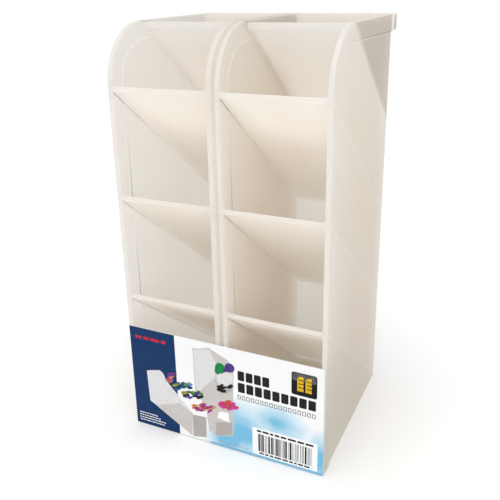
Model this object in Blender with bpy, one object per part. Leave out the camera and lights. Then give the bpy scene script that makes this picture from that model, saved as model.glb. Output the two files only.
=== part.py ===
"""Desk organizer: two identical pen holders side by side, with one label card
across the foot of both.

Each holder is an open-fronted tower.  Three dividers and a roof panel slope down
from the front to the back wall, so pens pushed in from the front slide down and
stay.  The side walls have a large round at the top front corner and a stepped
rim along the front and top, and the back wall carries a lip at its top.

Frame: metres, +Z up, the open front faces -Y.  The origin is at the centre of
the bounding box's underside.
"""

import math

import bmesh
import bpy

# ---------------------------------------------------------------- driving sizes
HEIGHT = 0.2300
DEPTH = 0.1034  # front rim to the rear face of the back wall
CLEAR_WIDTH = 0.0528  # between the rims of one holder's two side walls
WALL = 0.0024  # side, back, front walls and floor
UNIT_GAP = 0.0024  # between the two holders' side walls

RIM_WIDTH = 0.0092  # stepped border along the front and top of a side wall
RIM_STEP = 0.0005  # how far the rim stands outside the wall behind it
CORNER_RADIUS = 0.0305  # top front corner of a side wall

SLOPE = math.radians(38.5)  # dividers and roof, down towards the back
DIVIDER_THICKNESS = 0.0020
ROOF_THICKNESS = 0.0026
DIVIDER_COUNT = 3
DIVIDER_PITCH = 0.0572  # front edge to front edge, measured upright
TOP_DIVIDER_HEIGHT = 0.2004  # top of the highest divider's front edge
ROOF_SETBACK = 0.0330  # roof's front edge behind the front rim

LIP_REACH = 0.0060  # how far the top lip stands out behind
LIP_HEIGHT = 0.0088
LIP_THICKNESS = 0.0022
LIP_OVERHANG = 0.00105  # past each side wall

LABEL_HEIGHT = 0.0655
LABEL_THICKNESS = 0.0004
LABEL_INSET = 0.0005  # from the holders' outer side faces

GAP = 0.0003  # between neighbouring solids
CUTTER_MARGIN = 0.0050  # how far a cutter runs past the solid it cuts
ARC_SEGMENTS = 14

# ---------------------------------------------------------------- derived sizes
UNIT_WIDTH = CLEAR_WIDTH + 2 * WALL
UNIT_CENTRE = (UNIT_WIDTH + UNIT_GAP) / 2
PANEL_CLEAR_WIDTH = CLEAR_WIDTH - 2 * RIM_STEP
CROSS_WIDTH = PANEL_CLEAR_WIDTH - 2 * GAP
LABEL_REACH = GAP + LABEL_THICKNESS
FRONT_Y = LABEL_REACH - (LABEL_REACH + DEPTH + LIP_REACH) / 2
BACK_INNER = DEPTH - WALL - GAP  # rear end of the sloping panels
FRONT_WALL_HEIGHT = TOP_DIVIDER_HEIGHT - DIVIDER_COUNT * DIVIDER_PITCH

PLASTIC = (0.80, 0.76, 0.71, 1.0)
CARD = (0.86, 0.87, 0.88, 1.0)


# ------------------------------------------------------------------- scene setup
def clear_scene():
    for obj in list(bpy.data.objects):
        bpy.data.objects.remove(obj, do_unlink=True)


def new_collection(name):
    collection = bpy.data.collections.new(name)
    bpy.context.scene.collection.children.link(collection)
    return collection


def move_to(obj, collection):
    for other in list(obj.users_collection):
        other.objects.unlink(obj)
    collection.objects.link(obj)


def new_material(name, colour, roughness, transmission=0.0):
    material = bpy.data.materials.new(name)
    material.use_nodes = True
    shader = material.node_tree.nodes["Principled BSDF"]
    shader.inputs["Base Color"].default_value = colour
    shader.inputs["Roughness"].default_value = roughness
    shader.inputs["Metallic"].default_value = 0.0
    shader.inputs["Transmission Weight"].default_value = transmission
    return material


# ---------------------------------------------------------------- shape helpers
def profile_solid(name, outline, width, centre_x, parent, collection):
    """Solid with a closed outline of (depth, height) points, extruded along X."""
    curve = bpy.data.curves.new(name, "CURVE")
    curve.dimensions = "2D"
    curve.fill_mode = "BOTH"
    curve.extrude = width / 2
    spline = curve.splines.new("POLY")
    spline.points.add(len(outline) - 1)
    for point, (depth, height) in zip(spline.points, outline):
        point.co = (depth, height, 0.0, 1.0)
    spline.use_cyclic_u = True
    obj = bpy.data.objects.new(name, curve)
    collection.objects.link(obj)
    obj.parent = parent
    obj.location = (centre_x, 0.0, 0.0)
    obj.rotation_euler = (math.pi / 2, 0.0, math.pi / 2)
    return obj


def as_mesh(curve_obj):
    """Mesh object in place of an outline curve, with its caps welded on."""
    bpy.context.view_layer.update()
    graph = bpy.context.evaluated_depsgraph_get()
    mesh = bpy.data.meshes.new_from_object(curve_obj.evaluated_get(graph))
    shape = bmesh.new()
    shape.from_mesh(mesh)
    bmesh.ops.remove_doubles(shape, verts=shape.verts, dist=0.00001)
    bmesh.ops.recalc_face_normals(shape, faces=shape.faces)
    shape.to_mesh(mesh)
    shape.free()
    name = curve_obj.name
    obj = bpy.data.objects.new(name + "_mesh", mesh)
    curve_obj.users_collection[0].objects.link(obj)
    obj.parent = curve_obj.parent
    obj.matrix_world = curve_obj.matrix_world
    bpy.data.objects.remove(curve_obj, do_unlink=True)
    obj.name = name
    return obj


def block(name, low, high, parent, collection):
    """Box between two corners given in the parent's frame."""
    bpy.ops.mesh.primitive_cube_add(size=1.0)
    obj = bpy.context.active_object
    obj.name = name
    obj.data.name = name
    size = [b - a for a, b in zip(low, high)]
    for vertex in obj.data.vertices:
        vertex.co = [c * s for c, s in zip(vertex.co, size)]
    move_to(obj, collection)
    obj.parent = parent
    obj.location = [(a + b) / 2 for a, b in zip(low, high)]
    return obj


def boolean(obj, other, operation):
    modifier = obj.modifiers.new(operation.lower(), "BOOLEAN")
    modifier.operation = operation
    modifier.solver = "EXACT"
    modifier.object = other
    other.hide_render = True
    other.display_type = "WIRE"


# ------------------------------------------------------------------ part shapes
def wall_outline(inset):
    """Side wall's outline, or its panel's when set in from the front and top."""
    radius = CORNER_RADIUS - inset
    points = [(DEPTH, 0.0), (DEPTH, HEIGHT - inset)]
    for step in range(ARC_SEGMENTS + 1):
        angle = math.pi / 2 * (1 + step / ARC_SEGMENTS)
        depth = CORNER_RADIUS + radius * math.cos(angle)
        height = HEIGHT - CORNER_RADIUS + radius * math.sin(angle)
        points.append((depth, height))
    points.append((inset, 0.0))
    return points


def panel_cutter_outline():
    """The panel's outline, run past the wall's back and bottom edges."""
    panel = wall_outline(RIM_WIDTH)
    far = DEPTH + CUTTER_MARGIN
    low = -CUTTER_MARGIN
    return [(far, low), (far, panel[1][1])] + panel[2:-1] + [(RIM_WIDTH, low)]


def side_wall(name, side, unit, parts, cutters):
    """Upright wall whose panel is stepped inwards from its rim."""
    middle = side * (CLEAR_WIDTH + WALL) / 2
    wall = as_mesh(profile_solid(name, wall_outline(0.0), WALL, middle, unit, parts))

    pocket_width = RIM_STEP + CUTTER_MARGIN
    pocket_middle = side * (UNIT_WIDTH / 2 - RIM_STEP + pocket_width / 2)
    pocket = as_mesh(profile_solid(name + "_pocket", panel_cutter_outline(),
                                   pocket_width, pocket_middle, unit, cutters))
    boolean(wall, pocket, "DIFFERENCE")

    pad_width = WALL / 2 + RIM_STEP
    pad_middle = side * (CLEAR_WIDTH / 2 - RIM_STEP + pad_width / 2)
    pad = as_mesh(profile_solid(name + "_pad", wall_outline(RIM_WIDTH),
                                pad_width, pad_middle, unit, cutters))
    boolean(wall, pad, "UNION")
    return wall


def sloping_panel(name, front_depth, front_height, thickness, unit, parts):
    """Plate that slopes down to the back wall, with upright ends."""
    drop = (BACK_INNER - front_depth) * math.tan(SLOPE)
    upright = thickness / math.cos(SLOPE)
    outline = [
        (front_depth, front_height),
        (front_depth, front_height - upright),
        (BACK_INNER, front_height - upright - drop),
        (BACK_INNER, front_height - drop),
    ]
    return profile_solid(name, outline, CROSS_WIDTH, 0.0, unit, parts)


def top_lip(name, unit, parts, cutters):
    """Flange and hanging skirt behind the back wall, closed at both ends."""
    near = DEPTH + GAP
    far = DEPTH + LIP_REACH
    width = UNIT_WIDTH + 2 * LIP_OVERHANG
    outline = [
        (near, HEIGHT),
        (near, HEIGHT - LIP_HEIGHT),
        (far, HEIGHT - LIP_HEIGHT),
        (far, HEIGHT),
    ]
    lip = as_mesh(profile_solid(name, outline, width, 0.0, unit, parts))
    hollow_x = width / 2 - LIP_THICKNESS
    hollow = block(name + "_hollow",
                   (-hollow_x, DEPTH - CUTTER_MARGIN, HEIGHT - LIP_HEIGHT - CUTTER_MARGIN),
                   (hollow_x, far - LIP_THICKNESS, HEIGHT - LIP_THICKNESS),
                   unit, cutters)
    boolean(lip, hollow, "DIFFERENCE")
    return lip


def flat_walls(prefix, unit, parts):
    """Floor, back wall and the low front wall, all between the side walls."""
    half = CROSS_WIDTH / 2
    floor = block(prefix + "floor", (-half, 0.0, 0.0), (half, DEPTH, WALL), unit, parts)
    back = block(prefix + "back_wall", (-half, DEPTH - WALL, WALL + GAP),
                 (half, DEPTH, HEIGHT), unit, parts)
    front = block(prefix + "front_wall", (-half, 0.0, WALL + GAP),
                  (half, WALL, FRONT_WALL_HEIGHT), unit, parts)
    return [floor, back, front]


def holder(prefix, centre_x, material, parts, cutters):
    """One complete pen holder."""
    unit = bpy.data.objects.new(prefix + "unit", None)
    parts.objects.link(unit)
    unit.location = (centre_x, FRONT_Y, 0.0)
    bpy.context.view_layer.update()

    made = [
        side_wall(prefix + "side_wall_a", -1, unit, parts, cutters),
        side_wall(prefix + "side_wall_b", 1, unit, parts, cutters),
        top_lip(prefix + "top_lip", unit, parts, cutters),
        sloping_panel(prefix + "roof_panel", ROOF_SETBACK, HEIGHT, ROOF_THICKNESS, unit, parts),
    ]
    made += flat_walls(prefix, unit, parts)
    for index in range(DIVIDER_COUNT):
        height = TOP_DIVIDER_HEIGHT - index * DIVIDER_PITCH
        name = f"{prefix}divider_{index + 1}"
        made.append(sloping_panel(name, 0.0, height, DIVIDER_THICKNESS, unit, parts))
    for obj in made:
        obj.data.materials.append(material)


def label_card(material, parts):
    """Thin card across the front of both holders' feet."""
    half = UNIT_CENTRE + UNIT_WIDTH / 2 - LABEL_INSET
    front = FRONT_Y - LABEL_REACH
    card = block("front_label", (-half, front, GAP),
                 (half, front + LABEL_THICKNESS, LABEL_HEIGHT), None, parts)
    card.data.materials.append(material)


def main():
    clear_scene()
    parts = new_collection("desk_organizer")
    cutters = new_collection("cutters")
    plastic = {
        side: new_material(f"frosted_plastic_{side}", PLASTIC, 0.45, 0.35)
        for side in ("left", "right")
    }
    holder("left_", -UNIT_CENTRE, plastic["left"], parts, cutters)
    holder("right_", UNIT_CENTRE, plastic["right"], parts, cutters)
    label_card(new_material("printed_card", CARD, 0.35), parts)
    bpy.context.view_layer.update()


main()
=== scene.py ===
"""Looks of the desk organizer: two frosted pen holders with one printed card.

Each holder is one injection moulding, so one smooth mesh stands for its plates.
The mesh is a rounded tower with sloping channels cut out of it, in metres, in
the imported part's own frame.
"""

import math
import random

import bmesh
import bpy
from mathutils import Matrix, Vector


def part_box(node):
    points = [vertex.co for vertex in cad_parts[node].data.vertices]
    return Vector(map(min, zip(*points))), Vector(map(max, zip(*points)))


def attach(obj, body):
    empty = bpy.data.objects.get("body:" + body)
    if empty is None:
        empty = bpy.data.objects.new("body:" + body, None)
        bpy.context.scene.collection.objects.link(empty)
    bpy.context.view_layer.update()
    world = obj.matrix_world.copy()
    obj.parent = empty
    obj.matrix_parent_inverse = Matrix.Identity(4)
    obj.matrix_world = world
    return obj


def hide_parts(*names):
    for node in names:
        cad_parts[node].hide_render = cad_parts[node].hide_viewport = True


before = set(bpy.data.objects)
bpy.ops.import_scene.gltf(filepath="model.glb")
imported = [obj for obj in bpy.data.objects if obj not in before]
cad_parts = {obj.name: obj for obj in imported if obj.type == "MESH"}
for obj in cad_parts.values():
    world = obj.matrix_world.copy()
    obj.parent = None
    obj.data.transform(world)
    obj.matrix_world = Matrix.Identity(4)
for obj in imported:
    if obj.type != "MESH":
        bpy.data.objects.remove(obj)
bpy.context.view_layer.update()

# ------------------------------------------------------------ sizes from the frame
SIDES = ("left", "right")
DIVIDER_COUNT = 3
HOLDER_PLATES = (
    "side_wall_a", "side_wall_b", "back_wall", "top_lip", "floor",
    "front_wall", "roof_panel", "divider_1", "divider_2", "divider_3",
)

wall_low, wall_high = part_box("left_side_wall_a")
back_low, back_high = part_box("left_back_wall")
roof_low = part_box("left_roof_panel")[0]
lip_low, lip_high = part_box("left_top_lip")
card_low, card_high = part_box("front_label")

FRONT_Y = wall_low.y
HEIGHT = wall_high.z
DEPTH = wall_high.y - wall_low.y
UNIT_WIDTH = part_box("left_side_wall_b")[1].x - wall_low.x
WALL = back_high.y - back_low.y
RIM_STEP = wall_high.x - wall_low.x - WALL
CLEAR_WIDTH = UNIT_WIDTH - 2 * WALL
BACK_INNER = DEPTH - WALL
FRONT_WALL_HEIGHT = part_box("left_front_wall")[1].z
DIVIDER_TOPS = [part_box(f"left_divider_{i + 1}")[1].z for i in range(DIVIDER_COUNT)]
ROOF_SETBACK = roof_low.y - FRONT_Y
LIP_WIDTH = lip_high.x - lip_low.x
LIP_HEIGHT = lip_high.z - lip_low.z
LIP_FAR = lip_high.y - FRONT_Y

# ------------------------------------------------- the moulding's own fine shapes
RIM_WIDTH = 0.0092
CORNER_RADIUS = 0.0305
SLOPE = math.radians(38.5)
FALL = math.tan(SLOPE)
DIVIDER_THICKNESS = 0.0020
ROOF_THICKNESS = 0.0026
ROOF_DROP = 0.0005  # the roof's front edge, below the walls' top
LET_IN = 0.0004  # how far the roof panel runs into the walls
LIP_THICKNESS = 0.0022
STEP_RUN = 0.0003  # half the width of the sloping step between rim and panel
FILLET = 0.0014  # inside corners of the channels
EDGE_ROUND = 0.00045
EDGE_ANGLE = math.radians(45)  # sharper edges than this are rounded
SMOOTH_ANGLE = math.radians(35)
MARGIN = 0.0100  # how far a cutter runs past the body
WELL_ABOVE = 1.5 * HEIGHT
ON_FACE = 0.0001
RIM_FACING = 0.9  # least part of a rim face's normal that points forwards and up
RIM_TURN = 0.1  # most of it that points sideways
SIDE_FACING = 0.95  # least part of a side face's normal that points sideways
ARC_STEPS = 36
FILLET_STEPS = 7

# ------------------------------------------------------------- the card's print
INK = 0.000015  # thickness of one printed layer
DISC_STEPS = 20
CORNER_STEPS = 6
WORD_LENGTHS = (1.5, 4.0)  # shortest and longest bar, in heights of its row
WORD_GAP = 0.7
HEAVY_SHARE = 0.82  # share of the pitch that a heavy block fills
HEAVY_CORNER = 0.12
BOX_SHARE = 0.72
BOX_LINE = 0.14
PENS = 18
PEN_SPREAD = 0.0026
PEN_LENGTHS = (0.0016, 0.0026)  # least and greatest half length of a pen
PEN_WIDTHS = (0.0006, 0.0010)  # and half width
PEN_TILTS = (0.1, 0.9)
BARCODE_MODULE = 0.00033
NAVY_WIDTH = 0.0294
BORDER_HEIGHT = 0.0014  # the blue line at the card's foot
BORDER_START = 0.0496
CLOUD_SCALE = 60.0
CLOUD_STRENGTH = (0.55, 1.25)
INK_MOTTLE_SCALE = 420.0
PAPER_GLOSS_SCALE = 160.0
PAPER_ROUGHNESS = (0.34, 0.46)
PAPER_GRAIN_SCALE = 2600.0
PAPER_GRAIN_DEPTH = 0.00003
PAPER_GRAIN_STRENGTH = 0.08
PAPER_SPECULAR = 0.15
CARD_TONES = [
    (0.0, (0.86, 0.865, 0.87)), (0.30, (0.56, 0.73, 0.82)), (0.80, (0.18, 0.48, 0.70)),
]
SKY_PATCHES = [  # across, up, and the two half-sizes of each blue cloud on the card
    (0.0730, 0.0130, 0.0280, 0.0240), (0.0900, 0.0250, 0.0220, 0.0130),
    (0.1150, 0.0100, 0.0100, 0.0200), (0.0620, 0.0050, 0.0180, 0.0120),
]
INKS = {  # name of the material, its two tones
    "paper": ("ink_white", (0.84, 0.85, 0.86), (0.90, 0.90, 0.91)),
    "navy": ("ink_navy", (0.000, 0.026, 0.105), (0.000, 0.032, 0.120)),
    "red": ("ink_red", (0.50, 0.010, 0.045), (0.56, 0.018, 0.060)),
    "charcoal": ("ink_charcoal", (0.006, 0.006, 0.007), (0.012, 0.012, 0.013)),
    "black": ("ink_black", (0.003, 0.003, 0.003), (0.006, 0.006, 0.006)),
    "grey": ("ink_grey", (0.10, 0.10, 0.10), (0.14, 0.14, 0.14)),
    "sheen": ("ink_grey_sheen", (0.060, 0.060, 0.063), (0.110, 0.110, 0.115)),
    "white_plastic": ("ink_pale_grey", (0.66, 0.65, 0.66), (0.71, 0.70, 0.71)),
    "warm_grey": ("ink_warm_grey", (0.53, 0.50, 0.48), (0.58, 0.55, 0.53)),
    "mid_grey": ("ink_mid_grey", (0.39, 0.36, 0.34), (0.43, 0.40, 0.38)),
    "yellow": ("ink_yellow", (0.62, 0.38, 0.010), (0.70, 0.45, 0.020)),
    "orange": ("ink_orange", (0.56, 0.20, 0.040), (0.64, 0.26, 0.065)),
    "olive": ("ink_olive", (0.20, 0.21, 0.030), (0.34, 0.34, 0.070)),
    "magenta": ("ink_magenta", (0.24, 0.018, 0.190), (0.34, 0.040, 0.260)),
    "pink": ("ink_pink", (0.52, 0.030, 0.220), (0.60, 0.060, 0.290)),
    "coral": ("ink_coral", (0.48, 0.045, 0.030), (0.58, 0.085, 0.050)),
    "purple": ("ink_purple", (0.055, 0.025, 0.180), (0.095, 0.045, 0.240)),
    "green": ("ink_green", (0.003, 0.190, 0.050), (0.010, 0.260, 0.080)),
    "teal": ("ink_teal", (0.010, 0.085, 0.130), (0.020, 0.140, 0.200)),
    "blue": ("ink_blue", (0.035, 0.170, 0.330), (0.070, 0.250, 0.440)),
}

# ------------------------------------------------------------- studio and camera
CEILING_LIGHT = 0.30
WALL_LIGHT = 1.0
WALL_TOP = (0.20, 0.45)  # heights on the unit sphere between which the walls fade out
LIGHTS = (  # name, direction, strength, and spread in degrees
    ("overhead", (0.0, 0.1, -1.0), 0.62, 40),
    ("front", (-0.45, 1.0, -0.25), 0.30, 60),
    ("right", (-1.0, 0.35, -0.2), 0.05, 70),
)
LIGHT_BOUNCES = 20
FLOOR_RADIUS = 60.0
FLOOR_GAP = 0.0002
FLOOR_STEPS = 96
FLOOR_SCALE = 3.0
FLOOR_ROUGHNESS = 0.9
FLOOR_SPECULAR = 0.1
FLOOR_TONES = [(0.3, (0.94, 0.94, 0.94)), (0.7, (0.96, 0.96, 0.955))]

CAMERA_PLACE = (0.1448, -0.3237, 0.2480)
CAMERA_TARGET = (-0.0070, 0.0, 0.1190)
CAMERA_ROLL = math.radians(1.13)
CAMERA_LENS = 47.1
CAMERA_SHIFT = -0.065
CAMERA_NEAR = 0.01

# --------------------------------------------------------------- frosted plastic
NOISE_MIDDLE = (0.3, 0.7)  # where nearly all values of a noise lie
EDGE_HIGHLIGHT_MATERIAL = 1  # slot of the lighter plastic, a painted highlight, on rims, rounded edges and the rim's step
SIDE_PAINTED_LIGHT_MATERIAL = 2  # slot of the outer side faces' plastic, with painted light lines and painted shade

MILKINESS = 0.66  # share of light it scatters through
CLEARNESS = 0.24  # share of light it lets straight through
EDGE_CLEARNESS = 0.15
CLEAR_TINT = (0.97, 0.955, 0.93, 1.0)
PLASTIC_IOR = 1.49
MOTTLE_SCALE = 26.0
MOTTLE_STOPS = (0.30, 0.50, 0.70)
GRAIN_SCALE = 1500.0
GRAIN_DEPTH = 0.0001
GRAIN_STRENGTH = 0.25
FLOW_SCALE = 9.0
PLASTIC_ROUGHNESS = (0.36, 0.50)
# Painted shade: the outer side faces darken above the roof line, over the wedge.
WEDGE_FADE = (0.004, 0.001)  # fade of the painted shade, below and above the roof line
WEDGE_SHADE = 0.60
FACE_TONES = ((0.950, 0.905, 0.868), (0.960, 0.938, 0.908), (0.940, 0.940, 0.908))
# colour of the painted light lines on the outer side faces
PAINTED_LINE_TONE = (0.985, 0.980, 0.970)
# colour of the painted shade over the wedge
PAINTED_WEDGE_SHADE_TONE = (0.52, 0.46, 0.40)
# painted highlight: lighter tones for rims and rounded edges
EDGE_HIGHLIGHT_TONES = ((0.970, 0.955, 0.935), (0.975, 0.960, 0.940), (0.970, 0.962, 0.940))


# -------------------------------------------------------------------- materials
class Nodes:
    """Short names for building one material's node tree."""

    def __init__(self, name):
        self.material = bpy.data.materials.new(name)
        self.material.use_nodes = True
        self.tree = self.material.node_tree
        self.shader = self.tree.nodes["Principled BSDF"]
        self.output = self.tree.nodes["Material Output"]

    def link(self, source, target):
        """Feed an input from another node's output, or set it to a constant."""
        if isinstance(source, bpy.types.NodeSocket):
            self.tree.links.new(source, target)
        else:
            target.default_value = source

    def add(self, kind, **inputs):
        """New node with its inputs fed; a _ in an input's name stands for a space."""
        node = self.tree.nodes.new(kind)
        for key, value in inputs.items():
            self.link(value, node.inputs[key.replace("_", " ")])
        return node

    def maths(self, operation, first, second=0.0):
        node = self.tree.nodes.new("ShaderNodeMath")
        node.operation = operation
        for socket, value in zip(node.inputs, (first, second)):
            self.link(value, socket)
        return node.outputs[0]

    def place(self):
        """Coordinates in the object's own space."""
        return self.tree.nodes.new("ShaderNodeTexCoord").outputs["Object"]

    def noise(self, scale, detail=2.0, roughness=0.5):
        node = self.add("ShaderNodeTexNoise", Vector=self.place(), Scale=scale, Detail=detail,
                        Roughness=roughness)
        return node.outputs["Fac"]

    def ramp(self, factor, stops):
        """Colour ramp through (position, colour) stops, two or more."""
        node = self.add("ShaderNodeValToRGB", Fac=factor)
        elements = node.color_ramp.elements
        while len(elements) < len(stops):
            elements.new(1.0)
        for element, (position, colour) in zip(elements, stops):
            element.position = position
            element.color = (*colour, 1.0)
        return node.outputs["Color"]

    def span(self, factor, low, high):
        """Middle range of a noise, mapped to low..high."""
        start, end = NOISE_MIDDLE
        node = self.add("ShaderNodeMapRange", Value=factor, From_Min=start, From_Max=end,
                        To_Min=low, To_Max=high)
        return node.outputs["Result"]

    def mix(self, factor, colour, other):
        """Colour turned towards a constant colour; a colour mix uses sockets 6 and 7."""
        node = self.tree.nodes.new("ShaderNodeMix")
        node.data_type = "RGBA"
        self.link(factor, node.inputs["Factor"])
        self.link(colour, node.inputs[6])
        node.inputs[7].default_value = (*other, 1.0)
        return node.outputs[2]

    def bump(self, height, strength, distance):
        node = self.add("ShaderNodeBump", Height=height, Strength=strength,
                        Distance=distance)
        return node.outputs["Normal"]


def painted_side_light_masks(nodes):
    """Masks on an outer side face: painted light lines, and painted shade on the wedge
    above the roof panel.

    The lines are a painted highlight along the step beside its rim, and painted lighter
    bands where the dividers behind the wall show through it.
    """
    axes = nodes.add("ShaderNodeSeparateXYZ", Vector=nodes.place())
    depth = nodes.maths("SUBTRACT", axes.outputs["Y"], FRONT_Y)
    height = nodes.maths("ADD", nodes.maths("MULTIPLY", depth, FALL), axes.outputs["Z"])

    forward = nodes.maths("MAXIMUM", nodes.maths("SUBTRACT", CORNER_RADIUS, depth), 0.0)
    upward = nodes.maths("SUBTRACT", axes.outputs["Z"], HEIGHT - CORNER_RADIUS)
    upward = nodes.maths("MAXIMUM", upward, 0.0)
    out = nodes.maths("SQRT", nodes.maths("ADD", nodes.maths("POWER", forward, 2.0),
                                          nodes.maths("POWER", upward, 2.0)))
    inset = nodes.maths("SUBTRACT", CORNER_RADIUS, out)

    # painted highlight along the rim's step, then painted lighter bands at the dividers
    lines = [(inset, RIM_WIDTH, STEP_RUN, 2 * STEP_RUN)]
    for top in DIVIDER_TOPS:
        middle = top - DIVIDER_THICKNESS / math.cos(SLOPE) / 2
        lines.append((height, middle, DIVIDER_THICKNESS / 4, DIVIDER_THICKNESS))
    mask = 0.0
    for value, centre, full, none in lines:
        away = nodes.maths("ABSOLUTE", nodes.maths("SUBTRACT", value, centre))
        near = nodes.add("ShaderNodeMapRange", Value=away, From_Min=full, From_Max=none,
                         To_Min=1.0, To_Max=0.0)
        mask = nodes.maths("MAXIMUM", near.outputs["Result"], mask)
    # painted shade: darker above the roof line, over the wedge
    roof_line = HEIGHT + ROOF_SETBACK * FALL
    below, above = WEDGE_FADE
    wedge = nodes.add("ShaderNodeMapRange", Value=height, From_Min=roof_line - below,
                      From_Max=roof_line + above)
    return mask, wedge.outputs["Result"]


def frosted_plastic(name, tones, clearness, with_painted_light=False):
    """Translucent, slightly warm polypropylene with a fine moulded grain."""
    nodes = Nodes(name)
    mottle = nodes.noise(MOTTLE_SCALE, detail=8.0, roughness=0.75)
    grain = nodes.noise(GRAIN_SCALE, detail=2.0, roughness=0.6)
    flow = nodes.noise(FLOW_SCALE, detail=1.0)
    colour = nodes.ramp(mottle, list(zip(MOTTLE_STOPS, tones)))
    normal = nodes.bump(grain, GRAIN_STRENGTH, GRAIN_DEPTH)
    # the outer side faces get painted light lines and painted shade
    if with_painted_light:
        painted_lines, wedge = painted_side_light_masks(nodes)
        colour = nodes.mix(painted_lines, colour, PAINTED_LINE_TONE)
        # painted shade darkens the wedge above the roof line
        colour = nodes.mix(nodes.maths("MULTIPLY", wedge, WEDGE_SHADE), colour, PAINTED_WEDGE_SHADE_TONE)
    shader = nodes.shader
    nodes.link(colour, shader.inputs["Base Color"])
    nodes.link(nodes.span(flow, *PLASTIC_ROUGHNESS), shader.inputs["Roughness"])
    nodes.link(normal, shader.inputs["Normal"])
    shader.inputs["IOR"].default_value = PLASTIC_IOR
    translucent = nodes.add("ShaderNodeBsdfTranslucent", Color=colour, Normal=normal)
    clear = nodes.add("ShaderNodeBsdfTransparent", Color=CLEAR_TINT)
    milky = nodes.add("ShaderNodeMixShader", Fac=MILKINESS)
    nodes.link(shader.outputs[0], milky.inputs[1])
    nodes.link(translucent.outputs[0], milky.inputs[2])
    whole = nodes.add("ShaderNodeMixShader", Fac=clearness)
    nodes.link(milky.outputs[0], whole.inputs[1])
    nodes.link(clear.outputs[0], whole.inputs[2])
    nodes.link(whole.outputs[0], nodes.output.inputs["Surface"])
    return nodes.material


PLASTICS = [frosted_plastic("frosted_plastic", FACE_TONES, CLEARNESS),
            # lighter copy, a painted highlight, for the edges
            frosted_plastic("frosted_plastic_edge_highlight", EDGE_HIGHLIGHT_TONES, EDGE_CLEARNESS),
            # with painted light lines and painted shade on the outer side faces
            frosted_plastic("frosted_plastic_side_painted_light", FACE_TONES, CLEARNESS, with_painted_light=True)]


# ---------------------------------------------------------------- mesh helpers
def mesh_object(name, shape, materials=()):
    """Object made from a bmesh, which is freed."""
    bmesh.ops.recalc_face_normals(shape, faces=shape.faces)
    mesh = bpy.data.meshes.new(name)
    shape.to_mesh(mesh)
    shape.free()
    for material in materials:
        mesh.materials.append(material)
    obj = bpy.data.objects.new(name, mesh)
    bpy.context.scene.collection.objects.link(obj)
    return obj


def skin(name, rings, material_index=0):
    """Closed solid through equally long rings of points, with flat ends.

    The faces between its rings take the material, and its ends the first one.
    """
    shape = bmesh.new()
    loops = [[shape.verts.new(point) for point in ring] for ring in rings]
    count = len(loops[0])
    for near, far in zip(loops, loops[1:]):
        for i in range(count):
            j = (i + 1) % count
            face = shape.faces.new((near[i], near[j], far[j], far[i]))
            face.material_index = material_index
    shape.faces.new(loops[0])
    shape.faces.new(list(reversed(loops[-1])))
    return mesh_object(name, shape, PLASTICS)


def apply_modifiers(obj):
    """Replace an object's mesh with its modified one."""
    graph = bpy.context.evaluated_depsgraph_get()
    mesh = bpy.data.meshes.new_from_object(obj.evaluated_get(graph))
    obj.modifiers.clear()
    obj.data = mesh


def combine(obj, other, operation):
    """Boolean of obj with other, which is removed."""
    modifier = obj.modifiers.new(operation.lower(), "BOOLEAN")
    modifier.operation = operation
    modifier.solver = "EXACT"
    modifier.object = other
    bpy.context.view_layer.update()
    apply_modifiers(obj)
    bpy.data.objects.remove(other, do_unlink=True)


# --------------------------------------------------------------- holder's shapes
# Depths are measured from the front rim, heights from the floor; both are in metres.
def wall_outline(inset, overrun=0.0):
    """(depth, height) points of a side wall, set in from its front and top.

    The overrun moves its back and bottom edges outwards.
    """
    radius = CORNER_RADIUS - inset
    far = DEPTH + overrun
    points = [(far, -overrun), (far, HEIGHT - inset)]
    for step in range(ARC_STEPS + 1):
        angle = math.pi / 2 * (1 + step / ARC_STEPS)
        depth = CORNER_RADIUS + radius * math.cos(angle)
        height = HEIGHT - CORNER_RADIUS + radius * math.sin(angle)
        points.append((depth, height))
    points.append((inset, -overrun))
    return points


def slab(name, half_width, outline):
    """Outline of (depth, height) points, extruded to both sides of X = 0."""
    return skin(name, [[(x, y, z) for y, z in outline] for x in (-half_width, half_width)])


def panel_cutter(side, rim_x):
    """Everything outside a side wall's panel face, which starts one step inwards of rim_x.

    Its border is the sloping step between the panel and the rim.
    """
    stations = [
        (rim_x - RIM_STEP, RIM_WIDTH + STEP_RUN),
        (rim_x + RIM_STEP, RIM_WIDTH - 3 * STEP_RUN),
    ]
    rings = [[(side * x, y, z) for y, z in wall_outline(inset, MARGIN)]
             for x, inset in stations]
    # the step's faces take the lighter plastic, a painted highlight
    return skin("panel", rings, EDGE_HIGHLIGHT_MATERIAL)


def tower(name, half_width, rim_x, inset, overrun=0.0):
    """Block in the side walls' outline, narrower by a step behind its rim."""
    block = slab(name, half_width, wall_outline(inset, overrun))
    for side in (-1, 1):
        combine(block, panel_cutter(side, rim_x), "DIFFERENCE")
    return block


def rounded_section(half_width, low, high):
    """(x, z) points of an upright rectangle with rounded corners."""
    corners = [
        (half_width - FILLET, high - FILLET, 0.0),
        (FILLET - half_width, high - FILLET, 0.5),
        (FILLET - half_width, low + FILLET, 1.0),
        (half_width - FILLET, low + FILLET, 1.5),
    ]
    points = []
    for x, z, start in corners:
        for step in range(FILLET_STEPS + 1):
            angle = math.pi * (start + step / FILLET_STEPS / 2)
            points.append((x + FILLET * math.cos(angle), z + FILLET * math.sin(angle)))
    return points


def channel(name, low, high, far=BACK_INNER):
    """Sloping cutter; low and high are its heights at the front rim."""
    section = rounded_section(CLEAR_WIDTH / 2, low, high)
    rings = [[(x, y, z - y * FALL) for x, z in section] for y in (-MARGIN, far)]
    return skin(name, rings)


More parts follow.
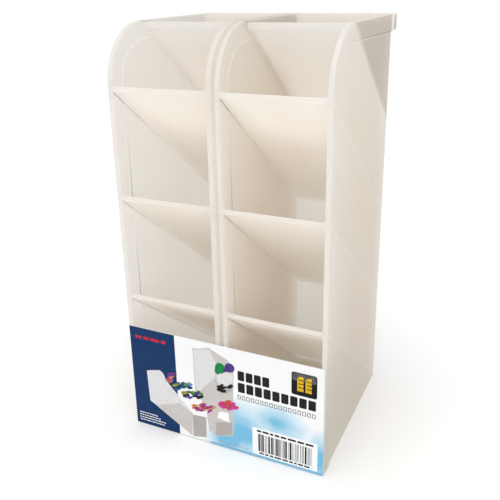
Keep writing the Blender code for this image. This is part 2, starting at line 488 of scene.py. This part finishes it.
def lowest_channel():
    """The space between the lowest divider, the floor and the low front wall."""
    top = DIVIDER_TOPS[-1] - DIVIDER_THICKNESS / math.cos(SLOPE)
    cutter = channel("lowest_channel", -HEIGHT, top, DEPTH + MARGIN)
    outline = [
        (-2 * MARGIN, FRONT_WALL_HEIGHT), (WALL, FRONT_WALL_HEIGHT), (WALL, WALL),
        (BACK_INNER, WALL), (BACK_INNER, HEIGHT), (-2 * MARGIN, HEIGHT),
    ]
    combine(cutter, slab("room", CLEAR_WIDTH, outline), "INTERSECT")
    return cutter


def channel_cutters():
    """One cutter for each space; the highest one is open upwards."""
    cutters = [channel("top_channel", DIVIDER_TOPS[0], WELL_ABOVE), lowest_channel()]
    for above, below in zip(DIVIDER_TOPS, DIVIDER_TOPS[1:]):
        high = above - DIVIDER_THICKNESS / math.cos(SLOPE)
        cutters.append(channel("channel", below, high))
    return cutters


def roof():
    """Sloping panel from just below the top edge to the back, let into the walls."""
    outline = []
    for y, drop in ((ROOF_SETBACK, 0.0), (BACK_INNER + LET_IN, 0.0),
                    (BACK_INNER + LET_IN, ROOF_THICKNESS), (ROOF_SETBACK, ROOF_THICKNESS)):
        fall = (y - ROOF_SETBACK) * FALL
        outline.append((y, HEIGHT - ROOF_DROP - fall - drop / math.cos(SLOPE)))
    return slab("roof", CLEAR_WIDTH / 2 + LET_IN, outline)


def top_lip():
    """Flange behind the back wall, with a skirt and closed ends."""
    near = BACK_INNER + WALL / 2
    outline = [
        (near, HEIGHT), (near, HEIGHT - LIP_HEIGHT),
        (LIP_FAR, HEIGHT - LIP_HEIGHT), (LIP_FAR, HEIGHT),
    ]
    lip = slab("lip", LIP_WIDTH / 2, outline)
    ceiling = HEIGHT - LIP_THICKNESS
    inner = [
        (DEPTH, ceiling), (DEPTH, HEIGHT - LIP_HEIGHT - MARGIN),
        (LIP_FAR - LIP_THICKNESS, HEIGHT - LIP_HEIGHT - MARGIN),
        (LIP_FAR - LIP_THICKNESS, ceiling),
    ]
    combine(lip, slab("lip_hollow", LIP_WIDTH / 2 - LIP_THICKNESS, inner), "DIFFERENCE")
    return lip


def faces_front_or_top(face):
    """Whether a face is on the front or top rim, or is the roof's front edge."""
    y, z = face.center.y, face.center.z
    if abs(face.normal.x) > RIM_TURN or face.normal.z - face.normal.y < RIM_FACING:
        return False
    from_centre = math.hypot(y - CORNER_RADIUS, z - HEIGHT + CORNER_RADIUS)
    in_corner = y < CORNER_RADIUS and z > HEIGHT - CORNER_RADIUS
    on_round = in_corner and from_centre > CORNER_RADIUS - ON_FACE
    on_roof = abs(y - ROOF_SETBACK) < ON_FACE
    return on_round or on_roof or y < ON_FACE or z > HEIGHT - ON_FACE


def assign_plastics(obj):
    """Lighter plastic, a painted highlight, on the rims; on the outer side faces, the plastic
    with painted light lines and painted shade.
    """
    outside = UNIT_WIDTH / 2 - WALL / 2
    for face in obj.data.polygons:
        if faces_front_or_top(face):
            face.material_index = EDGE_HIGHLIGHT_MATERIAL
        elif abs(face.normal.x) > SIDE_FACING and abs(face.center.x) > outside:
            face.material_index = SIDE_PAINTED_LIGHT_MATERIAL


def round_edges(obj):
    """Small rounds on all sharp edges, with flat faces that stay flat in shading."""
    bevel = obj.modifiers.new("edges", "BEVEL")
    bevel.width = EDGE_ROUND
    bevel.segments = 2
    bevel.limit_method = "ANGLE"
    bevel.angle_limit = EDGE_ANGLE
    bevel.use_clamp_overlap = False
    bevel.miter_outer = "MITER_ARC"
    # the rounds take the lighter plastic, a painted highlight
    bevel.material = EDGE_HIGHLIGHT_MATERIAL
    apply_modifiers(obj)
    obj.data.shade_smooth()
    obj.data.set_sharp_from_angle(angle=SMOOTH_ANGLE)
    normals = obj.modifiers.new("flat_faces", "WEIGHTED_NORMAL")
    normals.keep_sharp = True
    apply_modifiers(obj)


def holder_mesh():
    """The moulding, centred on X = 0 with its front rim at Y = 0."""
    body = tower("holder", UNIT_WIDTH / 2, UNIT_WIDTH / 2, 0.0)
    clear = CLEAR_WIDTH / 2
    for cutter in channel_cutters():
        inside = tower("inside", clear + RIM_STEP / 2, clear, -3 * MARGIN, 2 * MARGIN)
        combine(cutter, inside, "INTERSECT")
        combine(body, cutter, "DIFFERENCE")
    combine(body, roof(), "UNION")
    combine(body, top_lip(), "UNION")
    assign_plastics(body)
    round_edges(body)
    return body


def place_copy(mesh, name, centre_x):
    """Object with its own copy of a mesh, moved to its place behind the front."""
    obj = bpy.data.objects.new(name, mesh.copy())
    bpy.context.scene.collection.objects.link(obj)
    obj.data.transform(Matrix.Translation((centre_x, FRONT_Y, 0.0)))
    return obj


# ------------------------------------------------------------------ printed card
class Print:
    """Flat, closed ink patches on the card's front, one mesh for each ink.

    Places are in metres across and up from the card's lower left corner. A patch with a
    higher layer lies on those with a lower one.
    """

    def __init__(self):
        self.shapes = {}

    def patch(self, ink, points, layer=0):
        """Polygon of (across, up) points, as a thin plate in front of the card."""
        if ink not in self.shapes:
            self.shapes[ink] = bmesh.new()
        shape = self.shapes[ink]
        corners = [(card_low.x + x, card_low.z + z) for x, z in points]
        front, back = ([shape.verts.new((x, card_low.y - gap, z)) for x, z in corners]
                       for gap in (INK * (layer + 1), INK / 4))
        shape.faces.new(front)
        shape.faces.new(back[::-1])
        count = len(points)
        for i in range(count):
            j = (i + 1) % count
            shape.faces.new((front[i], front[j], back[j], back[i]))

    def bar(self, ink, left, low, right, high, layer=0):
        """Upright rectangle."""
        self.patch(ink, [(left, low), (right, low), (right, high), (left, high)], layer)

    def disc(self, ink, x, z, radius_x, radius_z, tilt=0.0, layer=0):
        """Ellipse round (x, z), turned by the tilt in radians."""
        turn = Matrix.Rotation(tilt, 2)
        ring = []
        for step in range(DISC_STEPS):
            angle = 2 * math.pi * step / DISC_STEPS
            offset = turn @ Vector((radius_x * math.cos(angle), radius_z * math.sin(angle)))
            ring.append((x + offset.x, z + offset.y))
        self.patch(ink, ring, layer)

    def rounded_bar(self, ink, left, low, right, high, radius, layer=0):
        """Upright rectangle with rounded corners."""
        ring = []
        corners = ((right, high, 0), (left, high, 1), (left, low, 2), (right, low, 3))
        for x, z, quarter in corners:
            centre_x = x - math.copysign(radius, x - (left + right) / 2)
            centre_z = z - math.copysign(radius, z - (low + high) / 2)
            for step in range(CORNER_STEPS + 1):
                angle = math.pi / 2 * (quarter + step / CORNER_STEPS)
                ring.append((centre_x + radius * math.cos(angle),
                             centre_z + radius * math.sin(angle)))
        self.patch(ink, ring, layer)

    def finish(self):
        """Make one printed piece of each ink's patches."""
        for ink, shape in self.shapes.items():
            piece = mesh_object(f"print_{ink}", shape, [printed(*INKS[ink])])
            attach(piece, "root")


def word_bars(art, ink, left, right, low, high, draw, layer=0):
    """A row of flat blocks with gaps, in place of a line of small print."""
    x = left
    while x < right - high + low:
        width = (high - low) * draw.uniform(*WORD_LENGTHS)
        art.bar(ink, x, low, min(x + width, right), high, layer)
        x += width + (high - low) * WORD_GAP


def heavy_row(art, left, right, low, high, count):
    """A row of equal heavy blocks in place of a title line."""
    pitch = (right - left) / count
    for index in range(count):
        x = left + index * pitch
        art.rounded_bar("charcoal", x, low, x + pitch * HEAVY_SHARE, high,
                        (high - low) * HEAVY_CORNER)


def thin_row(art, left, right, low, high, count):
    """A row of small hollow boxes in place of thin small capitals."""
    pitch = (right - left) / count
    line = pitch * BOX_LINE
    for index in range(count):
        x = left + index * pitch
        end = x + pitch * BOX_SHARE
        for box in ((x, low, x + line, high), (end - line, low, end, high),
                    (x + line, low, end - line, low + line),
                    (x + line, high - line, end - line, high)):
            art.bar("grey", *box)


def barcode(art, draw):
    """White box with random bars, and a row of small blocks above and below them."""
    art.bar("paper", 0.0760, 0.0015, 0.1136, 0.0192)
    word_bars(art, "charcoal", 0.0788, 0.1116, 0.0168, 0.0180, draw, layer=1)
    word_bars(art, "charcoal", 0.0800, 0.1100, 0.0024, 0.0034, draw, layer=1)
    x = 0.0795
    while x < 0.1100:
        width = draw.choice((1, 1, 2, 3)) * BARCODE_MODULE
        art.bar("black", x, 0.0042, x + width, 0.0155, layer=1)
        x += width + draw.choice((1, 1, 2, 2, 3)) * BARCODE_MODULE


def badge(art):
    """Black, glossy badge with a pair of small yellow towers."""
    art.rounded_bar("black", 0.0988, 0.0466, 0.1128, 0.0602, 0.0014)
    art.rounded_bar("sheen", 0.0992, 0.0552, 0.1124, 0.0598, 0.0012, layer=1)
    for left in (0.1020, 0.1065):
        art.patch("yellow", [
            (left, 0.0492), (left + 0.0034, 0.0492), (left + 0.0034, 0.0580),
            (left + 0.0016, 0.0580), (left + 0.0005, 0.0574), (left, 0.0562),
        ], layer=2)
        for z in (0.0512, 0.0534, 0.0556):
            art.bar("black", left + 0.0006, z, left + 0.0034, z + 0.0005, layer=3)


def pen_bunch(art, inks, x, z, reach, rise, draw):
    """Coloured pens, lying on one another along a slope round (x, z)."""
    for index in range(PENS):
        share = draw.uniform(-0.5, 0.5)
        spread = PEN_SPREAD * (1 - abs(share))
        art.disc(draw.choice(inks), x + share * reach,
                 z + share * rise + draw.uniform(-spread, spread), draw.uniform(*PEN_LENGTHS),
                 draw.uniform(*PEN_WIDTHS), draw.uniform(*PEN_TILTS), layer=3 + index)


def lying_holder(art, draw):
    """Picture of a holder on its back, over the edge of the navy field."""
    art.patch("white_plastic", [
        (0.0095, 0.0378), (0.0120, 0.0386), (0.0183, 0.0402), (0.0205, 0.0388),
        (0.0222, 0.0345), (0.0386, 0.0167), (0.0378, 0.0012), (0.0144, 0.0154),
        (0.0103, 0.0177),
    ], layer=1)
    art.patch("warm_grey", [
        (0.0150, 0.0157), (0.0300, 0.0215), (0.0386, 0.0167), (0.0378, 0.0012),
    ], layer=2)
    art.patch("mid_grey", [
        (0.0386, 0.0160), (0.0474, 0.0166), (0.0470, 0.0030), (0.0384, 0.0012),
    ], layer=2)
    for inks, x, z, reach, rise in (
        (["magenta", "magenta", "purple", "orange"], 0.0259, 0.0375, 0.0046, 0.0044),
        (["olive", "teal", "navy", "blue", "teal"], 0.0330, 0.0333, 0.0108, 0.0035),
        (["olive", "green", "purple", "black", "green"], 0.0391, 0.0294, 0.0112, 0.0020),
        (["magenta", "orange", "coral", "magenta"], 0.0458, 0.0226, 0.0122, 0.0028),
    ):
        pen_bunch(art, inks, x, z, reach, rise, draw)


def standing_holder(art, draw):
    """Picture of a holder standing up, with its lit panel and three shelves of pens."""
    art.patch("warm_grey", [
        (0.0407, 0.0599), (0.0440, 0.0603), (0.0509, 0.0625), (0.0552, 0.0605),
        (0.0619, 0.0576), (0.0656, 0.0540), (0.0640, 0.0090), (0.0534, 0.0060),
        (0.0490, 0.0082), (0.0475, 0.0230), (0.0412, 0.0330),
    ], layer=1)
    art.patch("white_plastic", [
        (0.0412, 0.0590), (0.0509, 0.0615), (0.0552, 0.0540), (0.0540, 0.0445),
        (0.0440, 0.0330), (0.0418, 0.0338),
    ], layer=2)
    art.patch("mid_grey", [
        (0.0534, 0.0150), (0.0636, 0.0182), (0.0634, 0.0095), (0.0534, 0.0066),
    ], layer=2)
    art.patch("white_plastic", [
        (0.0550, 0.0480), (0.0650, 0.0500), (0.0646, 0.0420), (0.0560, 0.0405),
    ], layer=2)
    art.patch("paper", [
        (0.0545, 0.0186), (0.0560, 0.0232), (0.0616, 0.0238), (0.0622, 0.0174),
    ], layer=3)
    art.disc("green", 0.0575, 0.0514, 0.0031, 0.0033, layer=4)
    art.disc("green", 0.0558, 0.0494, 0.0017, 0.0024, layer=5)
    art.disc("purple", 0.0632, 0.0530, 0.0031, 0.0028, 0.5, layer=3)
    art.disc("purple", 0.0612, 0.0513, 0.0022, 0.0012, 0.5, layer=6)
    pen_bunch(art, ["black", "charcoal", "black", "mid_grey"], 0.0603, 0.0394, 0.0078, 0.0016, draw)
    art.disc("pink", 0.0585, 0.0282, 0.0032, 0.0023, 0.2, layer=2)
    pen_bunch(art, ["pink", "coral", "coral"], 0.0622, 0.0290, 0.0084, 0.0014, draw)


def card_art():
    """The card's whole print, from left to right, without any lettering."""
    draw = random.Random(7)
    art = Print()
    art.bar("navy", 0.0, 0.0, NAVY_WIDTH, card_high.z - card_low.z)
    word_bars(art, "red", 0.0036, 0.0249, 0.0582, 0.0600, draw, layer=2)
    for row, right in enumerate((0.0190, 0.0200, 0.0165, 0.0150)):
        low = 0.0024 + row * 0.0017
        word_bars(art, "paper", 0.0022, right, low, low + 0.0006, draw, layer=2)
    lying_holder(art, draw)
    standing_holder(art, draw)
    heavy_row(art, 0.0679, 0.0872, 0.0466, 0.0525, 4)
    heavy_row(art, 0.0679, 0.1132, 0.0392, 0.0452, 9)
    thin_row(art, 0.0675, 0.1130, 0.0347, 0.0373, 17)
    word_bars(art, "mid_grey", 0.0548, 0.0738, 0.0026, 0.0032, draw)
    badge(art)
    barcode(art, draw)
    art.finish()


def paper_finish(nodes, colour):
    """Low gloss of coated paper, with a fine grain."""
    nodes.link(colour, nodes.shader.inputs["Base Color"])
    gloss = nodes.span(nodes.noise(PAPER_GLOSS_SCALE), *PAPER_ROUGHNESS)
    nodes.link(gloss, nodes.shader.inputs["Roughness"])
    grain = nodes.noise(PAPER_GRAIN_SCALE)
    normal = nodes.bump(grain, PAPER_GRAIN_STRENGTH, PAPER_GRAIN_DEPTH)
    nodes.link(normal, nodes.shader.inputs["Normal"])
    nodes.shader.inputs["Specular IOR Level"].default_value = PAPER_SPECULAR
    return nodes.material


def printed(name, tone, other_tone):
    """Ink on coated paper, whose tone varies a little."""
    nodes = Nodes(name)
    colour = nodes.ramp(nodes.noise(INK_MOTTLE_SCALE), [(0.35, tone), (0.65, other_tone)])
    return paper_finish(nodes, colour)


def card_stock():
    """White coated card with a cloudy sky-blue tint towards its lower right."""
    nodes = Nodes("printed_card")
    place = nodes.place()
    cloud = nodes.span(nodes.noise(CLOUD_SCALE, detail=3.0), *CLOUD_STRENGTH)
    tint = 0.0
    for x, z, reach_x, reach_z in SKY_PATCHES:
        centre = (card_low.x + x, card_low.y, card_low.z + z)
        mapping = nodes.add("ShaderNodeMapping", Vector=place, Location=centre,
                            Scale=(reach_x, 1.0, reach_z))
        mapping.vector_type = "TEXTURE"
        patch = nodes.add("ShaderNodeTexGradient", Vector=mapping.outputs["Vector"])
        patch.gradient_type = "SPHERICAL"
        tint = nodes.maths("MAXIMUM", patch.outputs["Fac"], tint)
    axes = nodes.add("ShaderNodeSeparateXYZ", Vector=place)
    at_foot = nodes.maths("LESS_THAN", axes.outputs["Z"], card_low.z + BORDER_HEIGHT)
    at_right = nodes.maths("GREATER_THAN", axes.outputs["X"], card_low.x + BORDER_START)
    border = nodes.maths("MULTIPLY", at_foot, at_right)
    tint = nodes.maths("MAXIMUM", nodes.maths("MULTIPLY", tint, cloud), border)
    return paper_finish(nodes, nodes.ramp(tint, CARD_TONES))


def card():
    """The card itself, a thin board with slightly softened edges."""
    middle = (card_low + card_high) / 2
    size = card_high - card_low
    shape = bmesh.new()
    bmesh.ops.create_cube(shape, size=1.0)
    bmesh.ops.scale(shape, vec=size, verts=shape.verts)
    bmesh.ops.translate(shape, vec=middle, verts=shape.verts)
    bmesh.ops.bevel(shape, geom=shape.edges, offset=size.y / 5, segments=2, affect="EDGES")
    piece = mesh_object("card", shape, [card_stock()])
    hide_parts("front_label")
    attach(piece, "root")
    card_art()


# ------------------------------------------------------------- stage and camera
def pale_floor():
    """Wide, matt floor; the bright world round it is the backdrop."""
    shape = bmesh.new()
    bmesh.ops.create_circle(shape, cap_ends=True, segments=FLOOR_STEPS,
                            radius=FLOOR_RADIUS)
    floor = mesh_object("floor", shape)
    floor.location.z = -FLOOR_GAP
    nodes = Nodes("studio_paper")
    tone = nodes.ramp(nodes.noise(FLOOR_SCALE), FLOOR_TONES)
    nodes.link(tone, nodes.shader.inputs["Base Color"])
    nodes.shader.inputs["Roughness"].default_value = FLOOR_ROUGHNESS
    nodes.shader.inputs["Specular IOR Level"].default_value = FLOOR_SPECULAR
    floor.data.materials.append(nodes.material)


def broad_light(name, direction, strength, spread):
    """Large, distant light that shines along a direction; spread is in degrees."""
    data = bpy.data.lights.new(name, "SUN")
    data.energy = strength * math.pi
    data.angle = math.radians(spread)
    light = bpy.data.objects.new(name, data)
    bpy.context.scene.collection.objects.link(light)
    light.rotation_euler = Vector(direction).to_track_quat("-Z", "Y").to_euler()


def studio_light():
    """Broad lights and bright walls, shown with the Standard view transform."""
    for name, direction, strength, spread in LIGHTS:
        broad_light(name, direction, strength, spread)
    studio_walls()
    bpy.context.scene.view_settings.view_transform = "Standard"


def studio_walls():
    """World that is white round the horizon and fades upwards to a dimmer ceiling."""
    world = bpy.data.worlds.new("studio")
    world.use_nodes = True
    tree = world.node_tree
    direction = tree.nodes.new("ShaderNodeTexCoord").outputs["Generated"]
    axes = tree.nodes.new("ShaderNodeSeparateXYZ")
    tree.links.new(direction, axes.inputs[0])
    fade = tree.nodes.new("ShaderNodeMapRange")
    fade.interpolation_type = "SMOOTHSTEP"
    tree.links.new(axes.outputs["Z"], fade.inputs["Value"])
    for name, value in (("From Min", WALL_TOP[0]), ("From Max", WALL_TOP[1]),
                        ("To Min", WALL_LIGHT), ("To Max", CEILING_LIGHT)):
        fade.inputs[name].default_value = value
    background = tree.nodes["Background"]
    background.inputs["Color"].default_value = (1.0, 1.0, 1.0, 1.0)
    tree.links.new(fade.outputs["Result"], background.inputs["Strength"])
    bpy.context.scene.world = world


def light_paths():
    """Enough bounces for light that scatters through many thin plates."""
    cycles = bpy.context.scene.cycles
    cycles.max_bounces = LIGHT_BOUNCES
    cycles.diffuse_bounces = LIGHT_BOUNCES
    cycles.transmission_bounces = LIGHT_BOUNCES
    cycles.transparent_max_bounces = 2 * LIGHT_BOUNCES


def camera():
    """The photograph's viewpoint, fitted to the corners and edges seen in it."""
    data = bpy.data.cameras.new("camera")
    data.lens = CAMERA_LENS
    data.shift_y = CAMERA_SHIFT
    data.clip_start = CAMERA_NEAR
    view = bpy.data.objects.new("camera", data)
    bpy.context.scene.collection.objects.link(view)
    view.location = CAMERA_PLACE
    direction = Vector(CAMERA_TARGET) - Vector(CAMERA_PLACE)
    turn = direction.to_track_quat("-Z", "Y").to_matrix()
    roll = Matrix.Rotation(-CAMERA_ROLL, 3, "Z")
    view.rotation_euler = (turn @ roll).to_euler()
    bpy.context.scene.camera = view


body = holder_mesh()
for side in SIDES:
    low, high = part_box(f"{side}_back_wall")
    holder = place_copy(body.data, f"{side}_holder", (low.x + high.x) / 2)
    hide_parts(*[f"{side}_{plate}" for plate in HOLDER_PLATES])
    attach(holder, "root")
bpy.data.objects.remove(body, do_unlink=True)

card()
pale_floor()
studio_light()
light_paths()
camera()
